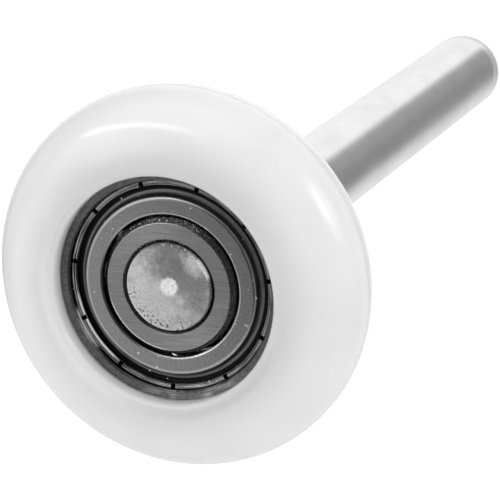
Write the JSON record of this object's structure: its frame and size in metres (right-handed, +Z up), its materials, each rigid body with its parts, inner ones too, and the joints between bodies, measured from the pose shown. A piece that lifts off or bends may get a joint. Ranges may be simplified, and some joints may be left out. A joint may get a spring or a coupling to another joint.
{
  "type": "garage door roller",
  "caption": "Garage door track roller: white nylon wheel on a shielded ball bearing, riveted to a straight round steel stem.",
  "frame": {"origin": "on the spin axis, in the middle of the wheel's width", "axes": "+Y along the spin axis towards the stem's free end, +Z up"},
  "size_m": [0.046, 0.1199, 0.046],
  "materials": {
    "nylon": "smooth, slightly translucent white nylon",
    "bearing_steel": "dark hardened steel, turned and oiled",
    "ground_steel": "face ground with fine parallel marks",
    "ball_steel": "polished",
    "cage_steel": "stamped steel sheet",
    "rivet_steel": "cold formed",
    "shield_steel": "satin stamped sheet",
    "stem_steel": "satin zinc-plated bar, spun head"
  },
  "bodies": {
    "stem": {"stem": "stem_steel", "inner_ring": "ground_steel"},
    "wheel": {"tyre": "nylon", "outer_ring": "bearing_steel", "shield_front": "shield_steel", "shield_rear": "shield_steel"},
    "cage": {"cage_front": "cage_steel", "cage_rear": "cage_steel", "cage_rivets": "rivet_steel"},
    "ball_1": {"ball_1": "ball_steel"},
    "ball_2": {"ball_2": "ball_steel"},
    "ball_3": {"ball_3": "ball_steel"},
    "ball_4": {"ball_4": "ball_steel"},
    "ball_5": {"ball_5": "ball_steel"},
    "ball_6": {"ball_6": "ball_steel"},
    "ball_7": {"ball_7": "ball_steel"},
    "ball_8": {"ball_8": "ball_steel"}
  },
  "joints": [
    {"name": "wheel_spin", "type": "hinge", "parent": "stem", "child": "wheel", "pos_m": [0, 0, 0], "axis": [0, 1, 0], "continuous": true},
    {"name": "cage_orbit", "type": "hinge", "parent": "stem", "child": "cage", "pos_m": [0, 0, 0], "axis": [0, 1, 0], "continuous": true},
    {"name": "ball_1_spin", "type": "hinge", "parent": "cage", "child": "ball_1", "pos_m": [0, 0, 0.01], "axis": [0, 1, 0], "continuous": true},
    {"name": "ball_2_spin", "type": "hinge", "parent": "cage", "child": "ball_2", "pos_m": [-0.00707, 0, 0.00707], "axis": [0, 1, 0], "continuous": true},
    {"name": "ball_3_spin", "type": "hinge", "parent": "cage", "child": "ball_3", "pos_m": [-0.01, 0, 0], "axis": [0, 1, 0], "continuous": true},
    {"name": "ball_4_spin", "type": "hinge", "parent": "cage", "child": "ball_4", "pos_m": [-0.00707, 0, -0.00707], "axis": [0, 1, 0], "continuous": true},
    {"name": "ball_5_spin", "type": "hinge", "parent": "cage", "child": "ball_5", "pos_m": [0, 0, -0.01], "axis": [0, 1, 0], "continuous": true},
    {"name": "ball_6_spin", "type": "hinge", "parent": "cage", "child": "ball_6", "pos_m": [0.00707, 0, -0.00707], "axis": [0, 1, 0], "continuous": true},
    {"name": "ball_7_spin", "type": "hinge", "parent": "cage", "child": "ball_7", "pos_m": [0.01, 0, 0], "axis": [0, 1, 0], "continuous": true},
    {"name": "ball_8_spin", "type": "hinge", "parent": "cage", "child": "ball_8", "pos_m": [0.00707, 0, 0.00707], "axis": [0, 1, 0], "continuous": true}
  ],
  "couplings": [
    {"joint": "cage_orbit", "follows": "wheel_spin", "ratio": 0.619},
    {"joint": "ball_1_spin", "follows": "wheel_spin", "ratio": 1.9818},
    {"joint": "ball_2_spin", "follows": "wheel_spin", "ratio": 1.9818},
    {"joint": "ball_3_spin", "follows": "wheel_spin", "ratio": 1.9818},
    {"joint": "ball_4_spin", "follows": "wheel_spin", "ratio": 1.9818},
    {"joint": "ball_5_spin", "follows": "wheel_spin", "ratio": 1.9818},
    {"joint": "ball_6_spin", "follows": "wheel_spin", "ratio": 1.9818},
    {"joint": "ball_7_spin", "follows": "wheel_spin", "ratio": 1.9818},
    {"joint": "ball_8_spin", "follows": "wheel_spin", "ratio": 1.9818}
  ]
}
